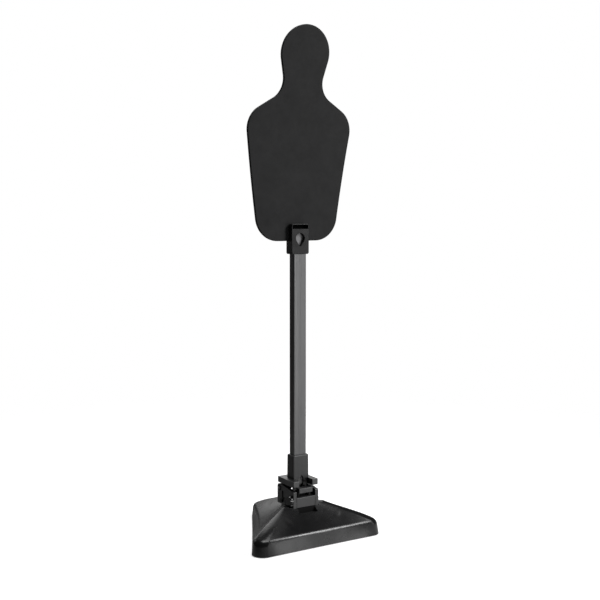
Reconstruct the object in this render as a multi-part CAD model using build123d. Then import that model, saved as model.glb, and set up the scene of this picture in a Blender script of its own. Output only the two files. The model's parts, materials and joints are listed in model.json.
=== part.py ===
"""Free-standing body opponent: a head-and-torso striking panel on a sprung post and a triangular base.

Millimetres, Z up from the floor, X across the panel, front of the panel towards -Y.  The pieces are
drawn about the post's axis, then moved along Y as they are written, so that the row's origin is the
centre of the footprint.  Each piece becomes one STEP file in parts/.
"""
from build123d import *
import os
from math import acos, atan2, cos, degrees, pi, radians, sin, sqrt

# ---------------------------------------------------------------- driving dimensions
# base shell: rounded triangles as (height, corner tip from centre, corner radius, side from centre)
SHELL_BOTTOM = (2, 273, 36, 153)
SHELL_RIM = (46, 266, 35, 132)
SHELL_SHOULDER = (58, 240, 33, 115)
SHELL_MIDDLE = (84.5, 167, 28, 77.7)
SHELL_TOP = (114, 86, 22, 36)
CAVITY_BOTTOM = (2, 268, 31, 149)
CAVITY_RIM = (42, 261, 31, 127)
CAVITY_SHOULDER = (53, 230, 29, 103)
CAVITY_TOP = (100, 108, 20, 44)
RIM_FILLET = 24
WELL_HALF_X, WELL_HALF_Y, WELL_FLOOR = 50.2, 52.2, 106
RECESS_HALF_X, RECESS_FRONT_Y, RECESS_FLOOR = 34, -70, 87
RECESS_WALL = 3
MARK_R, MARK_DEPTH = 13, 0.6    # shallow round sink marks, two on each slope
MARK_FROM_CENTRE, MARK_ANGLE = 132, 45
FOOT_FROM_CENTRE, FOOT_R, FOOT_H = 226, 20, 8
FLOOR_T, FLOOR_OUTLINE = 4, (265.2, 31, 143)
BALLAST = (13, 30)              # underside and top of the cast ballast plate

# hinge block
BLOCK_HALF_X, BLOCK_HALF_Y = 49.2, 51.2
CHEEK_T, CHEEK_EDGE_R = 13, 1.5
CHEEK_FRONT_TOP, CHEEK_BACK_TOP = 160, 171
CORE_FLOOR_T, CORE_BACK_T, CORE_BACK_TOP, CORE_EDGE_R = 20, 20, 141, 1.5
REST_HALF_X, REST_BACK_Y, REST_TOP = 13, -21, 143.5     # ledge that the springs' lower legs bear on
SLOT_BOTTOM, SLOT_TOP, CROSSBAR_TOP = 139.5, 153, 169.5
CROSSBAR_HALF_X, CROSSBAR_DEPTH = 26, 22.2
AXLE_Y, AXLE_Z, AXLE_R = 38, 158, 6
SHAFT_Y, SHAFT_Z, SHAFT_R = -39, 128.5, 3.5
KNOB_R, KNOB_T = 18.5, 11
KNOB_RELIEF, BOLT_RELIEF_R = 2.5, 9     # room for them in the base's top
CHEEK_BOLTS = ((-10, 118.5), (22, 118.5))

# rocker: fork plate and post socket
FORK_HALF_X, FORK_HALF_Y = 48.5, 50.2
FORK_BOTTOM, FORK_TOP, FORK_EDGE_R = 175, 194.5, 1.5
NOTCH_HALF_X, NOTCH_END_Y = 26.5, -14
WEB_HALF_X, WEB_Y, WEB_BOTTOM = 24, (-10, -4), 155      # stiffening web under the fork plate
SOCKET_TOP = 274
SOCKET_X, SOCKET_Y, SOCKET_FLARE, SOCKET_EDGE_R = 61, 40, 1.5, 4.5

# post
POST_X, POST_Y, POST_WALL, POST_CORNER = 50, 27, 2.2, 4
POST_BOTTOM, POST_TUBE_TOP, POST_HEAD_TOP = FORK_TOP + 0.3, 964, 1020
RUNNING_GAP = 0.3

# head: clip and striking panel
CLIP_HALF_X, CLIP_FRONT_Y, CLIP_BACK_Y = 33.5, -16.5, 17.5
CLIP_BOTTOM, CLIP_TOP, CLIP_SPLIT_Y = 943.5, 1044, 3
CLIP_SCREWS = [(x, z) for x in (-28.7, 28.7) for z in (954, 1008)]
BAND_LIP, BAND_HEIGHT, BAND_BACK_Y = 3.2, 14, -1.5      # deep band under the clip's top lip
PANEL_T, PANEL_BOTTOM, PANEL_HEIGHT = 10, 987, 700
PANEL_BOW_R, PANEL_EDGE_R = 3500, 2.5
HIP_HALF, HIP_R = 147, 84
SHOULDER, SHOULDER_R = (205, 405), 80
NECK, NECK_R = (65, 489), 68
HEAD_R = 91.5
WINDOW_Z, WINDOW_R, WINDOW_POINT = 996, 17, 29
BUTTON_FRONT_Y, BUTTON_T, POCKET_Y = -5.6, 2.2, -0.4


# ---------------------------------------------------------------- helpers
def box(x, y, z):
    """Block between two corners given as (low, high) pairs."""
    size = (x[1] - x[0], y[1] - y[0], z[1] - z[0])
    return Pos((x[0] + x[1]) / 2, (y[0] + y[1]) / 2, (z[0] + z[1]) / 2) * Box(*size)


def rod(axis, centre, radius, start, end):
    """Cylinder along X, Y or Z; centre holds its other two coordinates."""
    middle = (start + end) / 2
    length = end - start
    if axis == "X":
        return Pos(middle, *centre) * Rot(0, 90, 0) * Cylinder(radius, length)
    if axis == "Y":
        return Pos(centre[0], middle, centre[1]) * Rot(90, 0, 0) * Cylinder(radius, length)
    return Pos(centre[0], centre[1], middle) * Cylinder(radius, length)


def tube(axis, centre, outer, inner, start, end):
    return rod(axis, centre, outer, start, end) - rod(axis, centre, inner, start - 1, end + 1)


def hexagon(axis, centre, across_flats, start, end):
    """Hexagonal bolt head or nut along X or Z."""
    head = extrude(RegularPolygon(across_flats / 2, 6, major_radius=False), end - start)
    if axis == "X":
        return Pos(start, *centre) * Rot(0, 90, 0) * head
    return Pos(centre[0], centre[1], start) * head


def polar(distance, angle):
    return Vector(distance * cos(radians(angle)), distance * sin(radians(angle)))


def triangle(height, tip, corner_r, waist):
    """Three-cornered outline: round corners joined by sides that bow inwards, all tangent."""
    reach = tip - corner_r
    across, along = reach * sin(pi / 3), waist - reach * cos(pi / 3)
    side_r = (across ** 2 + along ** 2 - corner_r ** 2) / (2 * (corner_r - along))
    swing = degrees(atan2(across, along + side_r))
    edges = []
    for corner_angle in (-150, -30, 90):
        side_angle = corner_angle + 60
        corner = polar(reach, corner_angle)
        side_centre = polar(waist + side_r, side_angle)
        next_corner = polar(reach, corner_angle + 120)
        meet_back = corner + polar(corner_r, side_angle - 120 + swing)
        meet_front = corner + polar(corner_r, side_angle - swing)
        leave = next_corner + polar(corner_r, side_angle + swing)
        edges.append(ThreePointArc(meet_back, corner + polar(corner_r, corner_angle), meet_front))
        edges.append(ThreePointArc(meet_front, side_centre - polar(side_r, side_angle), leave))
    return Pos(0, 0, height) * make_face(edges)


def stack(*sections):
    """Ruled solid through rounded triangles, lowest first."""
    faces = [triangle(*section) for section in sections]
    solid = None
    for low, high in zip(faces, faces[1:]):
        piece = loft([low, high], ruled=True)
        solid = piece if solid is None else solid + piece
    return solid


def prism(face, height):
    """Extrusion of a flat face, always upwards."""
    return extrude(face, height, dir=(0, 0, 1))


def rounded_column(x, y, corner, low, high):
    return Pos(0, 0, low) * prism(RectangleRounded(x, y, corner), high - low)


def teardrop(grow, y_front, y_back):
    """Round at the top, pointed at the bottom, through the front of the clip."""
    radius = WINDOW_R + grow
    point = WINDOW_POINT + grow * 1.7
    turn = degrees(acos(radius / point))
    left, right = polar(radius, -90 - turn), polar(radius, -90 + turn)
    outline = [Line(left, (0, -point)), Line((0, -point), right), ThreePointArc(right, (0, radius), left)]
    face = fillet(make_face(outline).vertices().sort_by(Axis.Y)[0], 4)
    return Pos(0, y_back, WINDOW_Z) * Rot(90, 0, 0) * prism(face, y_back - y_front)


parts = {}


# ---------------------------------------------------------------- base
def make_base():
    skirt = stack(SHELL_BOTTOM, SHELL_RIM)
    slopes = loft([triangle(*section) for section in (SHELL_RIM, SHELL_SHOULDER, SHELL_MIDDLE, SHELL_TOP)])
    outer = skirt + slopes
    rim_edges = outer.edges().filter_by(lambda e: abs(e.center().Z - SHELL_RIM[0]) < 0.5)
    outer = fillet(rim_edges, RIM_FILLET)
    shell = outer - stack(CAVITY_BOTTOM, CAVITY_RIM, CAVITY_SHOULDER, CAVITY_TOP)
    recess_x, recess_y = (-RECESS_HALF_X, RECESS_HALF_X), (RECESS_FRONT_Y, -WELL_HALF_Y + 1)
    pocket = box((recess_x[0] - RECESS_WALL, recess_x[1] + RECESS_WALL),
                 (recess_y[0] - RECESS_WALL, recess_y[1] + RECESS_WALL), (RECESS_FLOOR - RECESS_WALL, 120))
    shell += pocket & outer
    shell -= box(recess_x, recess_y, (RECESS_FLOOR, 120))
    shell -= box((-WELL_HALF_X, WELL_HALF_X), (-WELL_HALF_Y, WELL_HALF_Y), (WELL_FLOOR, 120))
    shell -= sink_marks(outer)
    shell -= rod("X", (SHAFT_Y, SHAFT_Z), KNOB_R + KNOB_RELIEF, -BLOCK_HALF_X - KNOB_T - 5, 0)
    for y, z in CHEEK_BOLTS:
        shell -= rod("X", (y, z), BOLT_RELIEF_R, -BLOCK_HALF_X - 8, BLOCK_HALF_X + 12)
    floor_low = FOOT_H
    floor = prism(triangle(floor_low, *FLOOR_OUTLINE), FLOOR_T)
    feet = [polar(FOOT_FROM_CENTRE, angle) for angle in (-150, -30, 90)]
    screws = None
    for name, spot in zip(("foot_front_left", "foot_front_right", "foot_rear"), feet):
        centre = (spot.X, spot.Y)
        boss = rod("Z", centre, 7, floor_low + FLOOR_T, 60) & outer
        shell += boss
        shell -= rod("Z", centre, 2.5, 0, 32)
        floor -= rod("Z", centre, 2.8, 0, 20)
        foot = chamfer(Cylinder(FOOT_R, FOOT_H).edges().sort_by(Axis.Z)[0], 1.5)
        foot = Pos(spot.X, spot.Y, FOOT_H / 2) * foot
        foot -= rod("Z", centre, 6.5, -1, 5)
        foot -= rod("Z", centre, 2.8, -1, FOOT_H + 1)
        parts[name] = foot
        screw = rod("Z", centre, 5.5, 2, 5) + rod("Z", centre, 2.5, 5, 32)
        screw -= box((spot.X - 0.6, spot.X + 0.6), (spot.Y - 4, spot.Y + 4), (1, 3.2))
        screws = screw if screws is None else screws + screw
    ballast = prism(triangle(BALLAST[0], 205, 20, 109), BALLAST[1] - BALLAST[0])
    for x, y in base_bolt_spots():
        shell -= rod("Z", (x, y), 4.2, 90, 120)
    parts["base_shell"] = shell
    parts["base_floor"] = floor
    parts["foot_screws"] = screws
    parts["ballast_plate"] = ballast


def sink_marks(outer):
    """Balls that each cut a very shallow round dish into a slope of the shell."""
    ball_r = (MARK_R ** 2 + MARK_DEPTH ** 2) / (2 * MARK_DEPTH)
    marks = None
    for side_angle in (-90, 30, 150):
        for turn in (-MARK_ANGLE, MARK_ANGLE):
            spot = polar(MARK_FROM_CENTRE, side_angle + turn)
            upright = Axis((spot.X, spot.Y, 0), (0, 0, 1))
            point, normal = max(outer.find_intersection_points(upright), key=lambda hit: hit[0].Z)
            ball = Pos(*(point + normal * (ball_r - MARK_DEPTH))) * Sphere(ball_r)
            marks = ball if marks is None else marks + ball
    return marks


def base_bolt_spots():
    return [(x, y) for x in (-18, 18) for y in (-20, 37)]


# ---------------------------------------------------------------- hinge block
def make_cheek(side):
    """Side plate of the hinge block; its top falls towards the front."""
    y0, y1 = -BLOCK_HALF_Y, BLOCK_HALF_Y
    outline = [(y0, WELL_FLOOR), (y1, WELL_FLOOR), (y1, CHEEK_BACK_TOP), (AXLE_Y - 16, CHEEK_BACK_TOP),
               (y0, CHEEK_FRONT_TOP)]
    face = make_face(Polyline(*outline, close=True))
    for y, z, radius in ((y1, CHEEK_BACK_TOP, 9), (y0, CHEEK_FRONT_TOP, 3)):
        face = fillet(face.vertices().sort_by_distance((y, z, 0))[0], radius)
    inner = BLOCK_HALF_X - CHEEK_T
    plate = Pos(inner, 0, 0) * (Plane.YZ * prism(face, CHEEK_T))
    for face_x in (inner, BLOCK_HALF_X):
        rim = plate.edges().filter_by(lambda e: abs(e.center().X - face_x) < 0.1)
        rim = rim.filter_by(lambda e: e.center().Z > WELL_FLOOR + 1)
        plate = fillet(rim, CHEEK_EDGE_R)
    pocket = box((BLOCK_HALF_X - 3, BLOCK_HALF_X + 1), (-12, 22), (126, 152))
    plate -= fillet(pocket.edges().filter_by(Axis.X), 4)
    plate -= rod("X", (AXLE_Y, AXLE_Z), AXLE_R, 0, 60)
    plate -= rod("X", (SHAFT_Y, SHAFT_Z), SHAFT_R + 0.05, 0, 60)
    for y, z in CHEEK_BOLTS:
        plate -= rod("X", (y, z), 4, 0, 60)
    return plate if side > 0 else mirror(plate, about=Plane.YZ)


def make_core():
    """Middle casting: floor, front plate, back wall and the crossbar over the slot."""
    y0, inner = -BLOCK_HALF_Y, BLOCK_HALF_X - CHEEK_T
    floor_top = WELL_FLOOR + CORE_FLOOR_T
    front = box((-inner, inner), (y0, y0 + CROSSBAR_DEPTH), (WELL_FLOOR, SLOT_BOTTOM))
    front = fillet(front.edges().filter_by(lambda e: abs(e.center().Y - y0) < 0.1), CORE_EDGE_R)
    core = front + box((-inner, inner), (y0 + 2, BLOCK_HALF_Y), (WELL_FLOOR, floor_top))
    core += box((-inner, inner), (BLOCK_HALF_Y - CORE_BACK_T, BLOCK_HALF_Y), (WELL_FLOOR, CORE_BACK_TOP))
    core += box((-REST_HALF_X, REST_HALF_X), (y0 + CROSSBAR_DEPTH - 1, REST_BACK_Y), (WELL_FLOOR, REST_TOP))
    bar = box((-CROSSBAR_HALF_X, CROSSBAR_HALF_X), (y0, y0 + CROSSBAR_DEPTH), (SLOT_TOP, CROSSBAR_TOP))
    core += fillet(bar.edges(), CORE_EDGE_R)
    for x in ((-25, -18), (18, 25)):
        core += box(x, (y0 + 12, y0 + CROSSBAR_DEPTH - 2.5), (SLOT_BOTTOM - 2, SLOT_TOP + 5))
    core -= rod("X", (SHAFT_Y, SHAFT_Z), SHAFT_R + 0.05, -60, 60)
    for y, z in CHEEK_BOLTS:
        core -= rod("X", (y, z), 4, -60, 60)
    for x, y in base_bolt_spots():
        core -= rod("Z", (x, y), 4.2, 90, floor_top)
        core -= rod("Z", (x, y), 9, floor_top, 150)
    return core


def make_spring(side):
    """Torsion spring on the tilt axle: one leg on the core's ledge, one under the fork plate."""
    wire, coil, pitch, turns = 1.6, 12.5, 3.5, 4.5
    start_x = 8.2
    path = Helix(pitch, pitch * turns, coil)
    profile = Plane(origin=path @ 0, z_dir=path % 0) * Circle(wire)
    spring = sweep(profile, path, is_frenet=True)
    spring = Pos(start_x, AXLE_Y, AXLE_Z) * Rot(0, 90, 0) * spring
    low, high = AXLE_Z - coil, AXLE_Z + coil
    end_x = start_x + pitch * turns
    lower = rod("Y", (start_x, low), wire, -BLOCK_HALF_Y + CROSSBAR_DEPTH + 1, AXLE_Y + 0.5)
    upper = rod("Y", (end_x, high), wire, 0, AXLE_Y + 0.5)
    spring = spring + lower + upper
    return spring if side > 0 else mirror(spring, about=Plane.YZ)


def make_block():
    parts["left_cheek"] = make_cheek(-1)
    parts["right_cheek"] = make_cheek(1)
    parts["block_core"] = make_core()
    bolts, nuts = [], []
    for y, z in CHEEK_BOLTS:
        bolts.append(hexagon("X", (y, z), 13, -BLOCK_HALF_X - 5, -BLOCK_HALF_X)
                     + rod("X", (y, z), 4, -BLOCK_HALF_X, BLOCK_HALF_X + 9))
        nuts.append(hexagon("X", (y, z), 13, BLOCK_HALF_X, BLOCK_HALF_X + 6.5)
                    - rod("X", (y, z), 4, 0, 70))
    parts["cheek_bolts"] = Compound(bolts)
    parts["cheek_nuts"] = Compound(nuts)
    floor_top = WELL_FLOOR + CORE_FLOOR_T
    anchor_bolts, anchor_nuts = [], []
    for x, y in base_bolt_spots():
        anchor_bolts.append(hexagon("Z", (x, y), 13, floor_top, floor_top + 5.3)
                            + rod("Z", (x, y), 4, CAVITY_TOP[0] - 10, floor_top))
        anchor_nuts.append(hexagon("Z", (x, y), 13, CAVITY_TOP[0] - 6.5, CAVITY_TOP[0])
                           - rod("Z", (x, y), 4, 80, 120))
    parts["base_bolts"] = Compound(anchor_bolts)
    parts["base_nuts"] = Compound(anchor_nuts)
    axle = rod("X", (AXLE_Y, AXLE_Z), AXLE_R, -BLOCK_HALF_X - 4, BLOCK_HALF_X + 4)
    parts["tilt_axle"] = chamfer(axle.edges().filter_by(GeomType.CIRCLE), 1)
    parts["axle_clips"] = Compound([
        tube("X", (AXLE_Y, AXLE_Z), 10, AXLE_R, BLOCK_HALF_X, BLOCK_HALF_X + 1.5),
        tube("X", (AXLE_Y, AXLE_Z), 10, AXLE_R, -BLOCK_HALF_X - 1.5, -BLOCK_HALF_X)])
    parts["spring_spacer"] = tube("X", (AXLE_Y, AXLE_Z), 8, AXLE_R, -5, 5)
    parts["return_spring_left"] = make_spring(-1)
    parts["return_spring_right"] = make_spring(1)


def make_tension_knob():
    centre = (SHAFT_Y, SHAFT_Z)
    knob_inner = -BLOCK_HALF_X - 1.5
    shaft = rod("X", centre, SHAFT_R, knob_inner - KNOB_T + 2, BLOCK_HALF_X + 5)
    parts["tension_shaft"] = chamfer(shaft.edges().filter_by(GeomType.CIRCLE), 0.6)
    knob = rod("X", centre, KNOB_R, knob_inner - KNOB_T, knob_inner)
    knob = fillet(knob.edges().filter_by(GeomType.CIRCLE), 3)
    for turn in range(8):
        grip = polar(KNOB_R + 3.2, turn * 45 + 22.5)
        knob -= rod("X", (SHAFT_Y + grip.X, SHAFT_Z + grip.Y), 5.5, knob_inner - 20, knob_inner + 5)
    knob -= shaft
    parts["tension_knob"] = knob
    parts["shaft_collar"] = tube("X", centre, 7, SHAFT_R, BLOCK_HALF_X + RUNNING_GAP, BLOCK_HALF_X + 4)


# ---------------------------------------------------------------- rocker
def make_rocker():
    plate = box((-FORK_HALF_X, FORK_HALF_X), (-FORK_HALF_Y, FORK_HALF_Y), (FORK_BOTTOM, FORK_TOP))
    plate = fillet(plate.edges().filter_by(Axis.Z), 3)
    plate = fillet(plate.edges().group_by(Axis.Z)[-1] + plate.edges().group_by(Axis.Z)[0], FORK_EDGE_R)
    notch = box((-NOTCH_HALF_X, NOTCH_HALF_X), (-60, NOTCH_END_Y), (160, 210))
    plate -= fillet(notch.edges().filter_by(Axis.Z).sort_by(Axis.Y)[-2:], 5)
    plate += box((-WEB_HALF_X, WEB_HALF_X), WEB_Y, (WEB_BOTTOM, FORK_BOTTOM + 1))
    lug_x = (NOTCH_HALF_X, BLOCK_HALF_X - CHEEK_T - 1)
    for side in (-1, 1):
        x = sorted((side * lug_x[0], side * lug_x[1]))
        lug = rod("X", (AXLE_Y, AXLE_Z), 11, *x)
        lug += box(x, (AXLE_Y - 11, AXLE_Y + 10), (AXLE_Z, FORK_BOTTOM + 1))
        lug -= rod("X", (AXLE_Y, AXLE_Z), 8, -60, 60)
        plate += lug
        name = "axle_bush_left" if side < 0 else "axle_bush_right"
        parts[name] = tube("X", (AXLE_Y, AXLE_Z), 8, AXLE_R + 0.05, *x)
    socket_bolts = []
    for x in (-15.75, 15.75):
        plate -= rod("Y", (x, 184), 2.5, NOTCH_END_Y - 1, NOTCH_END_Y + 14)
        socket_bolts.append(rod("Y", (x, 184), 4.5, NOTCH_END_Y - 8, NOTCH_END_Y - 4.5)
                            + rod("Y", (x, 184), 2.5, NOTCH_END_Y - 4.5, NOTCH_END_Y + 14))
    parts["fork_plate"] = plate
    parts["socket_bolts"] = Compound(socket_bolts)
    parts["post_socket"] = make_socket()


def make_socket():
    low = RectangleRounded(SOCKET_X + SOCKET_FLARE, SOCKET_Y + SOCKET_FLARE, 5)
    high = RectangleRounded(SOCKET_X, SOCKET_Y, 5)
    socket = loft([Pos(0, 0, FORK_TOP) * low, Pos(0, 0, SOCKET_TOP) * high], ruled=True)
    socket = fillet(socket.edges().group_by(Axis.Z)[-1], SOCKET_EDGE_R)
    bore_x, bore_y = POST_X + 2 * RUNNING_GAP, POST_Y + 2 * RUNNING_GAP
    socket -= rounded_column(bore_x, bore_y, POST_CORNER + RUNNING_GAP, FORK_TOP - 1, SOCKET_TOP + 1)
    arch = box((-8, 8), (-40, -10), (FORK_TOP - 5, FORK_TOP + 3)) + rod("Y", (0, FORK_TOP + 3), 8, -40, -10)
    socket -= arch
    for x in ((-21, -10.5), (10.5, 21)):
        socket += box(x, (NOTCH_END_Y - 4.5, NOTCH_END_Y), (166, FORK_TOP + 2))
        socket -= rod("Y", (sum(x) / 2, 184), 2.5, -30, 0)
    return socket


# ---------------------------------------------------------------- post
def make_post():
    outer = rounded_column(POST_X, POST_Y, POST_CORNER, POST_BOTTOM + 2, POST_TUBE_TOP)
    inner_x, inner_y = POST_X - 2 * POST_WALL, POST_Y - 2 * POST_WALL
    bore = rounded_column(inner_x, inner_y, POST_CORNER - POST_WALL, POST_BOTTOM, POST_TUBE_TOP + 1)
    parts["post_tube"] = outer - bore
    foot = rounded_column(POST_X, POST_Y, POST_CORNER, POST_BOTTOM, POST_BOTTOM + 2)
    foot += rounded_column(inner_x, inner_y, POST_CORNER - POST_WALL, POST_BOTTOM + 2, POST_BOTTOM + 24)
    foot -= rounded_column(inner_x - 5, inner_y - 5, 1, POST_BOTTOM + 5, POST_BOTTOM + 30)
    parts["post_foot"] = foot
    head = rounded_column(inner_x, inner_y, POST_CORNER - POST_WALL, CLIP_BOTTOM, POST_TUBE_TOP)
    head += rounded_column(POST_X, POST_Y, POST_CORNER, POST_TUBE_TOP, PANEL_BOTTOM - 2)
    tongue = box((-POST_X / 2, POST_X / 2), (-POST_Y / 2, CLIP_SPLIT_Y - 0.5),
                 (PANEL_BOTTOM - 3, POST_HEAD_TOP))
    head += fillet(tongue.edges().filter_by(Axis.Y).sort_by(Axis.Z)[-2:], 5)
    head -= teardrop(0.4, -POST_Y / 2 - 5, POCKET_Y)
    parts["post_head"] = head
    button = teardrop(0, BUTTON_FRONT_Y, BUTTON_FRONT_Y + BUTTON_T)
    parts["release_button"] = fillet(button.edges().sort_by(Axis.Y)[:5], 0.8)
    spring = Helix(0.8, 1.6, 5)
    profile = Plane(origin=spring @ 0, z_dir=spring % 0) * Circle(0.3)
    wire = sweep(profile, spring, is_frenet=True)
    parts["button_spring"] = Pos(0, POCKET_Y - 0.4, WINDOW_Z) * Rot(90, 0, 0) * wire


# ---------------------------------------------------------------- head
def middle_y(height):
    """Where the bowed panel's middle surface lies, at a height above the floor."""
    above = height - PANEL_BOTTOM
    return CLIP_SPLIT_Y - PANEL_BOW_R + sqrt((PANEL_BOW_R + PANEL_T / 2) ** 2 - above ** 2)


def on_panel_face(edge):
    """Whether an edge lies along the panel's front or back face."""
    centre = edge.center()
    return abs(abs(centre.Y - middle_y(centre.Z)) - PANEL_T / 2) < 0.5


def make_panel():
    head_z = PANEL_HEIGHT - HEAD_R
    to_neck = Vector(NECK[0], NECK[1] - head_z)
    touch_angle = degrees(atan2(to_neck.Y, to_neck.X)) + degrees(acos(HEAD_R / to_neck.length))
    touch = polar(HEAD_R, touch_angle) + Vector(0, head_z)
    corners = [(0, 0), (HIP_HALF, 0), SHOULDER, NECK, (touch.X, touch.Y), (0, head_z)]
    half = make_face(Polyline(*corners, close=True))
    for spot, radius in (((HIP_HALF, 0), HIP_R), (SHOULDER, SHOULDER_R), (NECK, NECK_R)):
        corner = half.vertices().sort_by_distance((spot[0], spot[1], 0))[0]
        half = fillet(corner, radius)
    outline = half + mirror(half, about=Plane.YZ) + Pos(0, head_z) * Circle(HEAD_R)
    block = Pos(0, 60, PANEL_BOTTOM) * Rot(90, 0, 0) * prism(outline, 200)
    bow_centre = (CLIP_SPLIT_Y - PANEL_BOW_R, PANEL_BOTTOM)
    sheet = tube("X", bow_centre, PANEL_BOW_R + PANEL_T, PANEL_BOW_R, -240, 240)
    panel = block & sheet
    panel = fillet(panel.edges().filter_by(on_panel_face), PANEL_EDGE_R)
    for x, z in CLIP_SCREWS:
        if z > PANEL_BOTTOM:
            panel -= rod("Y", (x, z), 2.2, -20, 40)
    return panel


def make_head():
    full = box((-CLIP_HALF_X, CLIP_HALF_X), (CLIP_FRONT_Y, CLIP_BACK_Y), (CLIP_BOTTOM, CLIP_TOP))
    full = fillet(full.edges().filter_by(Axis.Y), 6)
    full = fillet(full.edges().filter_by(lambda e: abs(e.center().Y - CLIP_FRONT_Y) < 0.1), 1.8)
    cavity_x = POST_X / 2 + RUNNING_GAP
    cavity = box((-cavity_x, cavity_x), (-POST_Y / 2 - RUNNING_GAP, POST_Y / 2 + RUNNING_GAP),
                 (CLIP_BOTTOM - 1, PANEL_BOTTOM))
    cavity += box((-cavity_x, cavity_x), (-POST_Y / 2 - RUNNING_GAP, CLIP_SPLIT_Y),
                  (PANEL_BOTTOM - 1, POST_HEAD_TOP + RUNNING_GAP))
    slab = box((-60, 60), (CLIP_SPLIT_Y, CLIP_SPLIT_Y + PANEL_T + 0.35), (PANEL_BOTTOM, CLIP_TOP + 1))
    ahead = box((-60, 60), (-60, CLIP_SPLIT_Y), (900, 1100))
    front = (full & ahead) - cavity - teardrop(0.4, -40, -5)
    band = box((-CLIP_HALF_X + 3, CLIP_HALF_X - 3), (CLIP_FRONT_Y - 1, BAND_BACK_Y),
               (CLIP_TOP - BAND_LIP - BAND_HEIGHT, CLIP_TOP - BAND_LIP))
    front -= fillet(band.edges().filter_by(Axis.Y), 2)
    bow = PANEL_BOW_R - sqrt(PANEL_BOW_R ** 2 - (CLIP_TOP - PANEL_BOTTOM) ** 2) + 0.1
    front -= box((-60, 60), (CLIP_SPLIT_Y - bow, CLIP_SPLIT_Y + 1), (PANEL_BOTTOM, CLIP_TOP + 1))
    back = (full - ahead) - cavity - slab
    screws = []
    for x, z in CLIP_SCREWS:
        front -= rod("Y", (x, z), 1.8, -8, 20)
        back -= rod("Y", (x, z), 2.0, 0, 30) + rod("Y", (x, z), 3.6, CLIP_BACK_Y - 2.2, 30)
        screw = rod("Y", (x, z), 3.4, CLIP_BACK_Y - 2.2, CLIP_BACK_Y - 0.2)
        screw += rod("Y", (x, z), 1.8, -8, CLIP_BACK_Y - 2.2)
        screw -= box((x - 0.5, x + 0.5), (CLIP_BACK_Y - 1.2, CLIP_BACK_Y), (z - 2.4, z + 2.4))
        screws.append(screw)
    parts["clip_front"] = front
    parts["clip_back"] = back
    parts["clip_screws"] = Compound(screws)
    parts["silhouette_panel"] = make_panel()


make_base()
make_block()
make_tension_knob()
make_rocker()
make_post()
make_head()
tip_y = SHELL_BOTTOM[1]
front_y = -(SHELL_BOTTOM[1] - SHELL_BOTTOM[2]) / 2 - SHELL_BOTTOM[2]
to_footprint_centre = Pos(0, -(tip_y + front_y) / 2, 0)
os.makedirs("parts", exist_ok=True)
for node, solid in parts.items():
    export_step(to_footprint_centre * solid, f"parts/{node}.step")
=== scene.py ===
"""Body opponent mannequin: finishes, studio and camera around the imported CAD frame. Metres, Z up."""
import json
from math import cos, radians, sin

import bpy
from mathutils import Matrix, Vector


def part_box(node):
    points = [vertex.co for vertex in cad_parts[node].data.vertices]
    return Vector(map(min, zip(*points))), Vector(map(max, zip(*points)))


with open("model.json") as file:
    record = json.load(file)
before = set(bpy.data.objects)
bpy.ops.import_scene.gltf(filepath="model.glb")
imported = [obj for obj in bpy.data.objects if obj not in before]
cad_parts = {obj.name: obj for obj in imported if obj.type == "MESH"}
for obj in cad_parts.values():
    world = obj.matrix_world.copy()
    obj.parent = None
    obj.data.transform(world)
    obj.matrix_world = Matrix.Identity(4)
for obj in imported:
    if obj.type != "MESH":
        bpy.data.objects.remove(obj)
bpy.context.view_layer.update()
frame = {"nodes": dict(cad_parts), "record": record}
record = frame["record"]
tones = {material["slot"]: material["base_color"] for material in record["materials"]}
post_low, post_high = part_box("post_tube")
clip_low, clip_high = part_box("clip_front")
core_low, core_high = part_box("block_core")

# camera; angles in degrees, lens and sensor in millimetres
SHOOT_ANGLE = 32.4                  # how far it stands to the left of straight ahead
SHOOT_PITCH = 3.22                  # how far it looks down
SHOOT_DISTANCE = 3.443              # from the post's axis
SHOOT_HEIGHT = 1.094
SHOOT_LENS, SHOOT_SENSOR = 62.4, 36
SHOOT_SHIFT = (0.0037, -0.055)
POST_AXIS_Y = (post_low[1] + post_high[1]) / 2

# studio
FLOOR_RADIUS, FLOOR_CORNERS = 5.0, 96
FLOOR_FADE = (0.7, 2.6)             # distances from the centre where the floor starts and ends fading
FLOOR_TONE, FLOOR_GLOW = 0.92, 0.45     # as the camera sees it
FLOOR_BOUNCE = (0.2, 0.92)          # how pale it looks to the object, behind it and in front
FLOOR_TURN = (-0.15, 0.3)           # where that changes, measured towards the front right
SURROUND_GLOW = 0.05
POST_AIM, BASE_AIM = (0, -0.06, 0.6), (0, -0.06, 0.05)
LIGHTS = {      # azimuth, elevation, distance, width, height, watts, aim
    "key": (42, 42, 4.0, 1.2, 0.9, 80, BASE_AIM),
    "front_fill": (35, 0, 4.5, 1.2, 2.8, 40, POST_AIM),
    "overhead": (0, 88, 3.2, 2.0, 2.0, 80, POST_AIM),
    "back_wash": (172, 12, 4.0, 4.0, 1.4, 22, POST_AIM),
    "back_fill": (160, 28, 4.2, 1.6, 2.2, 22, POST_AIM),
}

# noises that the finishes share: scale, detail, roughness
MOTTLE = (38, 5, 0.6)
HANDLING = (11, 4, 0.6)
STREAKS = (230, 1, 0.4)
WAVES = (14, 1, 0.4)
GRAIN_DETAIL, GRAIN_ROUGHNESS = 2, 0.5
HANDLING_GLOSS = (-0.05, 0.06)      # how far handling moves the roughness
FINE_BUMP, WAVE_BUMP = 0.5, 0.35    # strengths

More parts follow.
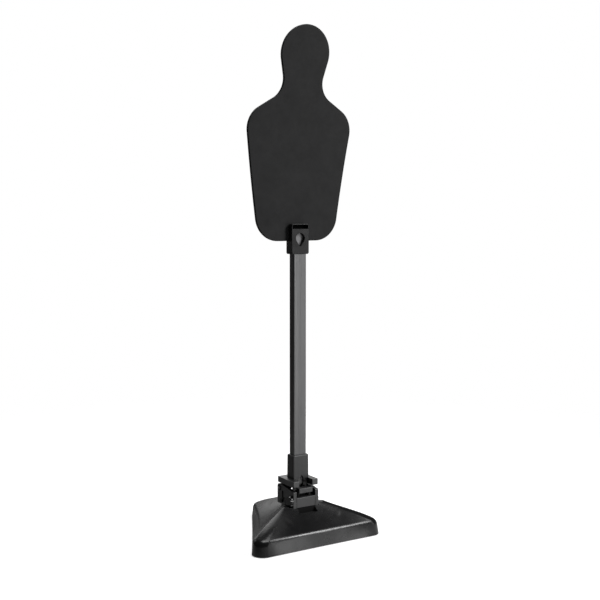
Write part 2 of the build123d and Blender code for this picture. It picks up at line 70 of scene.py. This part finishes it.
# painted shade: the walls of these openings are painted near black and matt, standing in for the shade
# deep inside them: the clip's, the slot in the block, the recess in the base
PAINTED_SHADE_TONE = 0.001
CLIP_SIDE, CLIP_FRONT, CLIP_SILL, CLIP_HEAD = 0.0035, 0.003, 0.02, 0.003
SLOT_FRONT, SLOT_BACK, SLOT_SILL, SLOT_HEAD = 0.004, 0.06, 0.003, 0.0015
RECESS_SIDE, RECESS_FRONT, RECESS_BACK, RECESS_SILL, RECESS_HEAD = 0.0343, 0.0195, 0.002, 0.08, 0.107
# boxes in each finish's own space whose surfaces get that painted shade
PAINTED_SHADE_BOXES = {
    "clip_black": ((clip_low[0] + CLIP_SIDE, clip_low[1] + CLIP_FRONT, clip_low[2] + CLIP_SILL),
                   (clip_high[0] - CLIP_SIDE, clip_high[1], clip_high[2] - CLIP_HEAD)),
    "core_grey": ((core_low[0], core_low[1] + SLOT_FRONT, core_low[2] + SLOT_SILL),
                  (core_high[0], core_low[1] + SLOT_BACK, core_high[2] - SLOT_HEAD)),
    "moulded_black": ((-RECESS_SIDE, core_low[1] - RECESS_FRONT, RECESS_SILL),
                      (RECESS_SIDE, core_low[1] + RECESS_BACK, RECESS_HEAD)),
}

FINISHES = {    # dim scales the record's colour to how the finish looks under these lights
    "moulded_black": dict(rough=0.25, grain=900, depth=0.00008, specular=0.42, waves=0.0003, dim=0.15),
    "cast_ballast": dict(rough=0.75, grain=260, depth=0.0008),
    "rubber": dict(rough=0.72, grain=700, depth=0.0002, specular=0.35, dim=0.5),
    "zinc": dict(rough=0.32, grain=900, depth=0.00005, metallic=1.0),
    "cast_black": dict(rough=0.36, grain=620, depth=0.00016, specular=0.85, dim=0.15),
    "core_grey": dict(rough=0.38, grain=620, depth=0.00016, specular=0.85, dim=0.15),
    "black_fastener": dict(rough=0.4, grain=900, depth=0.00006, metallic=0.6, dim=0.4),
    "axle_steel": dict(rough=0.28, grain=900, depth=0.00004, metallic=1.0, stretch=(0.1, 1, 1), dim=0.5),
    "nylon": dict(rough=0.5, grain=800, depth=0.00006, dim=0.3),
    "spring_steel": dict(rough=0.35, grain=900, depth=0.00004, metallic=1.0, dim=0.2),
    "knob_black": dict(rough=0.16, grain=900, depth=0.00004, specular=0.4, dim=0.08),
    "fork_black": dict(rough=0.36, grain=620, depth=0.00016, specular=0.95, dim=0.2),
    "socket_black": dict(rough=0.38, grain=620, depth=0.00016, specular=0.55, dim=0.2),
    "post_coat": dict(rough=0.3, grain=420, depth=0.00012, stretch=(1, 1, 0.02), specular=0.95,
                      dim=0.25, streaks=0.0006),
    "head_insert": dict(rough=0.5, grain=800, depth=0.00006, dim=0.2),
    "button_grey": dict(rough=0.42, grain=800, depth=0.00008, specular=0.8, dim=1.3),
    "clip_black": dict(rough=0.38, grain=760, depth=0.00012, specular=0.25, dim=0.16),
    "panel_black": dict(rough=0.6, grain=620, depth=0.00014, specular=0.2, waves=0.0008, dim=0.4),
}


# ---------------------------------------------------------------- shader nodes
def new_material(name):
    material = bpy.data.materials.new(name)
    material.use_nodes = True
    tree = material.node_tree
    shader = tree.nodes["Principled BSDF"]
    place = tree.nodes.new("ShaderNodeTexCoord").outputs["Object"]
    return material, tree, shader, place


def stretched(tree, place, scale):
    """Coordinates scaled apart along X, Y and Z, for grain that runs one way."""
    mapping = tree.nodes.new("ShaderNodeMapping")
    mapping.inputs["Scale"].default_value = scale
    tree.links.new(place, mapping.inputs["Vector"])
    return mapping.outputs["Vector"]


def noise(tree, place, scale, detail, roughness):
    node = tree.nodes.new("ShaderNodeTexNoise")
    node.inputs["Scale"].default_value = scale
    node.inputs["Detail"].default_value = detail
    node.inputs["Roughness"].default_value = roughness
    tree.links.new(place, node.inputs["Vector"])
    return node.outputs["Fac"]


def remap(tree, value, low, high, start=0.3, end=0.7, smooth=False):
    """From start to end, which by default is where a noise mostly lies, the value runs low to high."""
    node = tree.nodes.new("ShaderNodeMapRange")
    if smooth:
        node.interpolation_type = "SMOOTHSTEP"
    node.inputs["From Min"].default_value = start
    node.inputs["From Max"].default_value = end
    node.inputs["To Min"].default_value = low
    node.inputs["To Max"].default_value = high
    tree.links.new(value, node.inputs["Value"])
    return node.outputs["Result"]


def blend_tones(tree, factor, low, high):
    node = tree.nodes.new("ShaderNodeMix")
    node.data_type = "RGBA"
    node.inputs["A"].default_value = (*low, 1)
    node.inputs["B"].default_value = (*high, 1)
    tree.links.new(factor, node.inputs["Factor"])
    return node.outputs["Result"]


def paint_opening_shade(tree, factor, colour):
    """The colour, or near black painted shade where the factor is 1, standing in for the shade deep in an
    opening.
    """
    node = tree.nodes.new("ShaderNodeMix")
    node.data_type = "RGBA"
    node.inputs["B"].default_value = (PAINTED_SHADE_TONE, PAINTED_SHADE_TONE, PAINTED_SHADE_TONE, 1)
    tree.links.new(factor, node.inputs["Factor"])
    tree.links.new(colour, node.inputs["A"])
    return node.outputs["Result"]


def bump(tree, height, strength, depth, under=None):
    node = tree.nodes.new("ShaderNodeBump")
    node.inputs["Strength"].default_value = strength
    node.inputs["Distance"].default_value = depth
    tree.links.new(height, node.inputs["Height"])
    if under is not None:
        tree.links.new(under, node.inputs["Normal"])
    return node.outputs["Normal"]


def larger(tree, first, second):
    node = tree.nodes.new("ShaderNodeMath")
    node.operation = "MAXIMUM"
    tree.links.new(first, node.inputs[0])
    tree.links.new(second, node.inputs[1])
    return node.outputs["Value"]


def vector_math(tree, operation, vector, operand=None):
    node = tree.nodes.new("ShaderNodeVectorMath")
    node.operation = operation
    tree.links.new(vector, node.inputs[0])
    if operand is not None:
        node.inputs[1].default_value = operand
    return node


def inside_box(tree, place, low, high):
    """1 on surfaces inside a box of the object's own space, 0 elsewhere."""
    centre = [(a + b) / 2 for a, b in zip(low, high)]
    half = [(b - a) / 2 for a, b in zip(low, high)]
    vector = place
    for operation, operand in (("SUBTRACT", centre), ("ABSOLUTE", None), ("SUBTRACT", half)):
        vector = vector_math(tree, operation, vector, operand).outputs["Vector"]
    split = tree.nodes.new("ShaderNodeSeparateXYZ")
    tree.links.new(vector, split.inputs["Vector"])
    furthest = larger(tree, larger(tree, split.outputs["X"], split.outputs["Y"]), split.outputs["Z"])
    test = tree.nodes.new("ShaderNodeMath")
    test.operation = "LESS_THAN"
    test.inputs[1].default_value = 0
    tree.links.new(furthest, test.inputs[0])
    return test.outputs["Value"]


def mix_shaders(tree, factor, first, second):
    """The first where the factor is 0, the second where it is 1."""
    node = tree.nodes.new("ShaderNodeMixShader")
    tree.links.new(factor, node.inputs["Fac"])
    tree.links.new(first, node.inputs[1])
    tree.links.new(second, node.inputs[2])
    return node.outputs["Shader"]


def by_ray(tree, bounced, seen):
    """One shader for the camera's own rays, another for every bounce and reflection."""
    ray = tree.nodes.new("ShaderNodeLightPath")
    return mix_shaders(tree, ray.outputs["Is Camera Ray"], bounced, seen)


# ---------------------------------------------------------------- finishes
def shade(tone, factor):
    return tuple(min(1.0, channel * factor) for channel in tone)


def finish_material(slot, tone, rough, grain, depth, spread=0.18, specular=0.5, metallic=0.0,
                    stretch=(1, 1, 1), waves=0.0, dim=1.0, streaks=0.0):
    """Mottled colour, uneven gloss and a fine surface grain, each from its own noise."""
    material, tree, shader, place = new_material(slot)
    tone = shade(tone, dim)
    shader.inputs["Specular IOR Level"].default_value = specular
    shader.inputs["Metallic"].default_value = metallic
    along = stretched(tree, place, stretch)
    mottle = remap(tree, noise(tree, along, *MOTTLE), 0, 1)
    colour = blend_tones(tree, mottle, shade(tone, 1 - spread), shade(tone, 1 + spread))
    handling = noise(tree, along, *HANDLING)
    roughness = remap(tree, handling, *(rough + change for change in HANDLING_GLOSS))
    # painted shade: inside this slot's box the colour turns near black and the roughness goes to 1,
    # standing in for the shade deep in an opening
    if slot in PAINTED_SHADE_BOXES:
        inside = inside_box(tree, place, *PAINTED_SHADE_BOXES[slot])
        colour = paint_opening_shade(tree, inside, colour)
        roughness = larger(tree, roughness, inside)
    tree.links.new(colour, shader.inputs["Base Color"])
    tree.links.new(roughness, shader.inputs["Roughness"])
    normal = bump(tree, noise(tree, along, grain, GRAIN_DETAIL, GRAIN_ROUGHNESS), FINE_BUMP, depth)
    if streaks:
        normal = bump(tree, noise(tree, along, *STREAKS), FINE_BUMP, streaks, normal)
    if waves:
        normal = bump(tree, noise(tree, place, *WAVES), WAVE_BUMP, waves, normal)
    tree.links.new(normal, shader.inputs["Normal"])
    return material


materials = {slot: finish_material(slot, tones[slot], **finish) for slot, finish in FINISHES.items()}
for part in record["subparts"]:
    node = frame["nodes"][part["node"]]
    node.material_slots[0].material = materials[part["material_slot"]]


# ---------------------------------------------------------------- studio
def make_floor():
    """A wide pale disc that fades into the white surround.

    The object sees it pale in front and dark behind, as beside a black flag in a photo studio.
    """
    mesh = bpy.data.meshes.new("floor")
    turns = [radians(360 * i / FLOOR_CORNERS) for i in range(FLOOR_CORNERS)]
    ring = [(FLOOR_RADIUS * cos(turn), FLOOR_RADIUS * sin(turn), 0) for turn in turns]
    mesh.from_pydata(ring, [], [list(range(FLOOR_CORNERS))])
    floor = bpy.data.objects.new("floor", mesh)
    bpy.context.scene.collection.objects.link(floor)
    material, tree, shader, place = new_material("pale_floor")
    shader.inputs["Base Color"].default_value = (FLOOR_TONE, FLOOR_TONE, FLOOR_TONE, 1)
    shader.inputs["Roughness"].default_value = 0.9
    shader.inputs["Specular IOR Level"].default_value = 0.1
    shader.inputs["Emission Color"].default_value = (1, 1, 1, 1)
    shader.inputs["Emission Strength"].default_value = FLOOR_GLOW
    front_right = (sin(radians(SHOOT_ANGLE)), -cos(radians(SHOOT_ANGLE)), 0)
    across = vector_math(tree, "DOT_PRODUCT", place, front_right).outputs["Value"]
    start, end = FLOOR_TURN
    flagged = tree.nodes.new("ShaderNodeBsdfDiffuse")
    tree.links.new(remap(tree, across, *FLOOR_BOUNCE, start, end), flagged.inputs["Color"])
    surface = by_ray(tree, flagged.outputs["BSDF"], shader.outputs["BSDF"])
    distance = vector_math(tree, "LENGTH", place).outputs["Value"]
    start, end = FLOOR_FADE
    fade = remap(tree, distance, 0, 1, start, end, smooth=True)
    clear = tree.nodes.new("ShaderNodeBsdfTransparent")
    surface = mix_shaders(tree, fade, surface, clear.outputs["BSDF"])
    tree.links.new(surface, tree.nodes["Material Output"].inputs["Surface"])
    mesh.materials.append(material)


def make_surround():
    """White to the camera, and only a faint glow to the object."""
    world = bpy.data.worlds.new("surround")
    bpy.context.scene.world = world
    world.use_nodes = True
    tree = world.node_tree
    background = tree.nodes["Background"]
    background.inputs["Color"].default_value = (SURROUND_GLOW, SURROUND_GLOW, SURROUND_GLOW, 1)
    seen = tree.nodes.new("ShaderNodeBackground")
    seen.inputs["Color"].default_value = (1, 1, 1, 1)
    surface = by_ray(tree, background.outputs["Background"], seen.outputs["Background"])
    tree.links.new(surface, tree.nodes["World Output"].inputs["Surface"])


def softbox(name, azimuth, elevation, distance, width, height, watts, aim):
    """Area light seen from its aim at that azimuth (0 is in front, 90 is to the right) and elevation."""
    light = bpy.data.lights.new(name, "AREA")
    light.shape = "RECTANGLE"
    light.size, light.size_y = width, height
    light.energy = watts
    lamp = bpy.data.objects.new(name, light)
    lamp.visible_camera = False
    bpy.context.scene.collection.objects.link(lamp)
    turn, rise = radians(azimuth), radians(elevation)
    towards = Vector((sin(turn) * cos(rise), -cos(turn) * cos(rise), sin(rise)))
    lamp.location = Vector(aim) + towards * distance
    lamp.rotation_euler = towards.to_track_quat("Z", "Y").to_euler()


def make_camera():
    data = bpy.data.cameras.new("camera")
    camera = bpy.data.objects.new("camera", data)
    bpy.context.scene.collection.objects.link(camera)
    turn = radians(SHOOT_ANGLE)
    camera.location = (-SHOOT_DISTANCE * sin(turn), POST_AXIS_Y - SHOOT_DISTANCE * cos(turn), SHOOT_HEIGHT)
    camera.rotation_euler = (radians(90 - SHOOT_PITCH), 0, -turn)
    data.sensor_width = SHOOT_SENSOR
    data.lens = SHOOT_LENS
    data.shift_x, data.shift_y = SHOOT_SHIFT
    bpy.context.scene.camera = camera


make_floor()
make_surround()
for name, setting in LIGHTS.items():
    softbox(name, *setting)
make_camera()
bpy.context.scene.view_settings.view_transform = "Standard"
